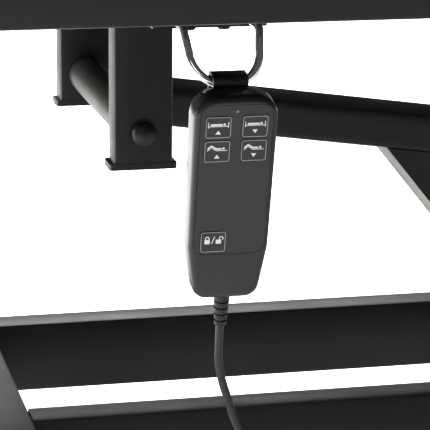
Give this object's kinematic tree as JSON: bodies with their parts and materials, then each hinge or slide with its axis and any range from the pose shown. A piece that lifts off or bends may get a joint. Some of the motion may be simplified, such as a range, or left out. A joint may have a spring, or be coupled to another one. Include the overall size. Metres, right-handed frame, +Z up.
{
  "type": "adjustable bed base",
  "caption": "Adjustable bed base: black steel floor frame, parallel lift arms, hinged padded deck, electric actuators and a wired handset hung on a chrome ring.",
  "frame": {"origin": "on the floor, under the middle of the deck", "axes": "+X along the deck towards the head end, +Y to the side away from the handset, +Z up"},
  "size_m": [1.9, 0.7, 0.5346],
  "materials": {
    "black_powder_coat": "fine-textured matte powder coat",
    "black_plastic": "satin",
    "handset_plastic": "satin, slightly glossy",
    "key_film": "matte printed film",
    "chrome": "polished",
    "zinc": "zinc plated",
    "black_ply": "black-faced plywood",
    "black_leatherette": "fine-grained leatherette",
    "bush_nylon": "plain nylon",
    "circuit_board": "solder mask",
    "led_lens": "clear dome",
    "cord_jacket": "smooth jacket"
  },
  "bodies": {
    "floor_frame": {"floor_rail_near": "black_powder_coat", "floor_rail_far": "black_powder_coat", "cross_foot_1": "black_powder_coat", "cross_foot_2": "black_powder_coat", "actuator_anchor": "black_powder_coat", "pivot_axle_1": "black_plastic", "pivot_axle_2": "black_plastic"},
    "arm_a": {"lift_arm_a": "black_powder_coat", "lift_lever": "black_powder_coat", "bush_a_upper": "bush_nylon", "bush_a_lower": "bush_nylon"},
    "arm_b": {"lift_arm_b": "black_powder_coat", "bush_b_upper": "bush_nylon", "bush_b_lower": "bush_nylon"},
    "top_frame": {"side_rail_near": "black_powder_coat", "side_rail_far": "black_powder_coat", "end_rail_foot": "black_powder_coat", "end_rail_head": "black_powder_coat", "cross_beam_a": "black_powder_coat", "cross_beam_b": "black_powder_coat", "knee_beam": "black_powder_coat", "pivot_axle_3": "black_plastic", "pivot_axle_4": "black_plastic", "torso_board": "black_ply", "torso_pad": "black_leatherette", "control_box": "black_plastic", "handset_ring": "chrome", "ring_clamp": "black_powder_coat", "handset_cord": "cord_jacket"},
    "lift_actuator": {"lift_actuator_housing": "black_plastic"},
    "lift_rod": {"lift_actuator_rod": "zinc"},
    "thigh_section": {"thigh_board": "black_ply", "thigh_pad": "black_leatherette", "thigh_frame": "black_powder_coat"},
    "leg_section": {"leg_board": "black_ply", "leg_pad": "black_leatherette", "leg_frame": "black_powder_coat"},
    "leg_link": {"leg_link": "black_powder_coat"},
    "knee_actuator": {"knee_actuator_housing": "black_plastic"},
    "knee_rod": {"knee_actuator_rod": "zinc"},
    "head_section": {"head_board": "black_ply", "head_pad": "black_leatherette", "head_frame": "black_powder_coat"},
    "handset": {"handset_front_shell": "handset_plastic", "handset_back_shell": "handset_plastic", "keypad_overlay": "key_film", "status_led": "led_lens", "circuit_board": "circuit_board", "handset_hook": "black_plastic", "cord_boot": "black_plastic"},
    "key_height_up": {"key_height_up": "key_film"},
    "key_height_down": {"key_height_down": "key_film"},
    "key_knee_up": {"key_knee_up": "key_film"},
    "key_knee_down": {"key_knee_down": "key_film"},
    "key_lock": {"key_lock": "key_film"},
    "foot_1": {"levelling_foot_1": "black_plastic"},
    "foot_2": {"levelling_foot_2": "black_plastic"},
    "foot_3": {"levelling_foot_3": "black_plastic"},
    "foot_4": {"levelling_foot_4": "black_plastic"}
  },
  "joints": [
    {"name": "height_lift", "type": "hinge", "parent": "floor_frame", "child": "arm_a", "pos_m": [0.12009, 0, 0.24098], "axis": [0, 1, 0], "range_deg": [0, 32]},
    {"name": "top_frame_level", "type": "hinge", "parent": "arm_a", "child": "top_frame", "pos_m": [-0.4545, 0, 0.32], "axis": [0, 1, 0], "range_deg": [-32, 0]},
    {"name": "arm_b_lift", "type": "hinge", "parent": "floor_frame", "child": "arm_b", "pos_m": [0.68009, 0, 0.24098], "axis": [0, 1, 0], "range_deg": [0, 32]},
    {"name": "lift_actuator_swing", "type": "hinge", "parent": "floor_frame", "child": "lift_actuator", "pos_m": [0.19549, 0, 0.08498], "axis": [0, 1, 0], "range_deg": [0, 20.8]},
    {"name": "lift_actuator_stroke", "type": "slide", "parent": "lift_actuator", "child": "lift_rod", "axis": [-0.9769, 0, 0.2137], "range_m": [0, 0.0662]},
    {"name": "knee_lift", "type": "hinge", "parent": "top_frame", "child": "thigh_section", "pos_m": [-0.092, 0, 0.5003], "axis": [0, 1, 0], "range_deg": [0, 30]},
    {"name": "leg_level", "type": "hinge", "parent": "thigh_section", "child": "leg_section", "pos_m": [-0.474, 0, 0.4943], "axis": [0, 1, 0], "range_deg": [-30, 0]},
    {"name": "leg_link_swing", "type": "hinge", "parent": "top_frame", "child": "leg_link", "pos_m": [-0.492, 0, 0.478], "axis": [0, 1, 0], "range_deg": [0, 30]},
    {"name": "knee_actuator_swing", "type": "hinge", "parent": "top_frame", "child": "knee_actuator", "pos_m": [0.19, 0, 0.4], "axis": [0, 1, 0], "range_deg": [-1.2, 0]},
    {"name": "knee_actuator_stroke", "type": "slide", "parent": "knee_actuator", "child": "knee_rod", "axis": [-0.9944, 0, 0.1057], "range_m": [0, 0.0386]},
    {"name": "head_tilt", "type": "hinge", "parent": "top_frame", "child": "head_section", "pos_m": [0.624, 0, 0.5003], "axis": [0, -1, 0], "range_deg": [0, 30]},
    {"name": "handset_swing", "type": "hinge", "parent": "top_frame", "child": "handset", "pos_m": [-0.4345, -0.3161, 0.3895], "axis": [-1, 0, 0], "range_deg": [-25, 30], "deforming": ["handset_cord"]},
    {"name": "key_height_up_press", "type": "slide", "parent": "handset", "child": "key_height_up", "axis": [0, 0.9781, 0.2079], "range_m": [0, 0.0006], "stiffness_N_per_m": 900},
    {"name": "key_height_down_press", "type": "slide", "parent": "handset", "child": "key_height_down", "axis": [0, 0.9781, 0.2079], "range_m": [0, 0.0006], "stiffness_N_per_m": 900},
    {"name": "key_knee_up_press", "type": "slide", "parent": "handset", "child": "key_knee_up", "axis": [0, 0.9781, 0.2079], "range_m": [0, 0.0006], "stiffness_N_per_m": 900},
    {"name": "key_knee_down_press", "type": "slide", "parent": "handset", "child": "key_knee_down", "axis": [0, 0.9781, 0.2079], "range_m": [0, 0.0006], "stiffness_N_per_m": 900},
    {"name": "key_lock_press", "type": "slide", "parent": "handset", "child": "key_lock", "axis": [0, 0.9781, 0.2079], "range_m": [0, 0.0006], "stiffness_N_per_m": 900},
    {"name": "foot_1_level", "type": "slide", "parent": "floor_frame", "child": "foot_1", "axis": [0, 0, -1], "range_m": [0, 0.015]},
    {"name": "foot_2_level", "type": "slide", "parent": "floor_frame", "child": "foot_2", "axis": [0, 0, -1], "range_m": [0, 0.015]},
    {"name": "foot_3_level", "type": "slide", "parent": "floor_frame", "child": "foot_3", "axis": [0, 0, -1], "range_m": [0, 0.015]},
    {"name": "foot_4_level", "type": "slide", "parent": "floor_frame", "child": "foot_4", "axis": [0, 0, -1], "range_m": [0, 0.015]}
  ],
  "couplings": [
    {"joint": "top_frame_level", "follows": "height_lift", "ratio": -1},
    {"joint": "arm_b_lift", "follows": "height_lift", "ratio": 1},
    {"joint": "lift_actuator_swing", "follows": "height_lift", "ratio": 0.64735},
    {"joint": "lift_actuator_stroke", "follows": "height_lift", "m_per_rad": 0.11804},
    {"joint": "leg_level", "follows": "knee_lift", "ratio": -1},
    {"joint": "leg_link_swing", "follows": "knee_lift", "ratio": 1},
    {"joint": "knee_actuator_swing", "follows": "knee_lift", "ratio": -0.03722},
    {"joint": "knee_actuator_stroke", "follows": "knee_lift", "m_per_rad": 0.07334}
  ]
}
